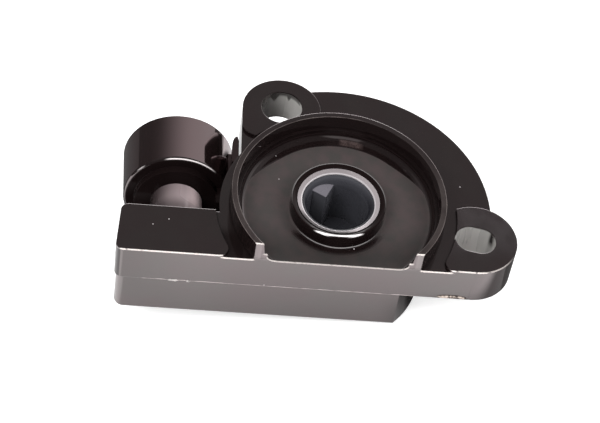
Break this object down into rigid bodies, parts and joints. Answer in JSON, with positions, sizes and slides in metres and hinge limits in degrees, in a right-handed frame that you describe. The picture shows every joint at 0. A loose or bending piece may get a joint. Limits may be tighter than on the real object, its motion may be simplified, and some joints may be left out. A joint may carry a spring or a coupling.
{
  "type": "throttle position sensor",
  "caption": "Black moulded rotary throttle position sensor with a spring-return drive socket in an open collar, screw ears and a round plug connector.",
  "frame": {"origin": "on the rotor's axis, in the plane of the seats that meet the throttle body", "axes": "+Z along the rotor's axis towards the throttle body, +Y the way the connector opens, -Y the flat side"},
  "size_m": [0.0603, 0.0359, 0.0233],
  "materials": {
    "plate_plastic": "black moulded, semi-gloss",
    "case_plastic": "black moulded, semi-gloss",
    "bush_steel": "turned, bright",
    "rotor_plastic": "dark slate, satin",
    "seal_rubber": "matte",
    "spring_steel": "drawn wire",
    "wiper_metal": "stamped, bright",
    "board": "laminate",
    "carbon_film": "printed carbon",
    "silver_film": "printed silver",
    "terminal_metal": "tin plated",
    "rivet_metal": "plain",
    "washer_plastic": "natural"
  },
  "bodies": {
    "housing": {"mounting_plate": "plate_plastic", "sensor_case": "case_plastic", "bearing_bush": "bush_steel", "rotor_seal": "seal_rubber", "return_spring": "spring_steel", "resistor_board": "board", "resistive_track": "carbon_film", "supply_lead": "silver_film", "ground_lead": "silver_film", "collector_track": "carbon_film", "terminal_signal": "terminal_metal", "terminal_ground": "terminal_metal", "terminal_supply": "terminal_metal", "rivet_signal": "rivet_metal", "rivet_ground": "rivet_metal", "rivet_supply": "rivet_metal", "thrust_washer": "washer_plastic"},
    "rotor": {"rotor": "rotor_plastic", "wiper_contact": "wiper_metal"}
  },
  "joints": [
    {"name": "rotor_turn", "type": "hinge", "parent": "housing", "child": "rotor", "pos_m": [0, 0, 0], "axis": [0, 0, 1], "range_deg": [0, 105], "stiffness_Nm_per_rad": 0.008, "springref_deg": -20.05, "deforming": ["return_spring"]}
  ]
}
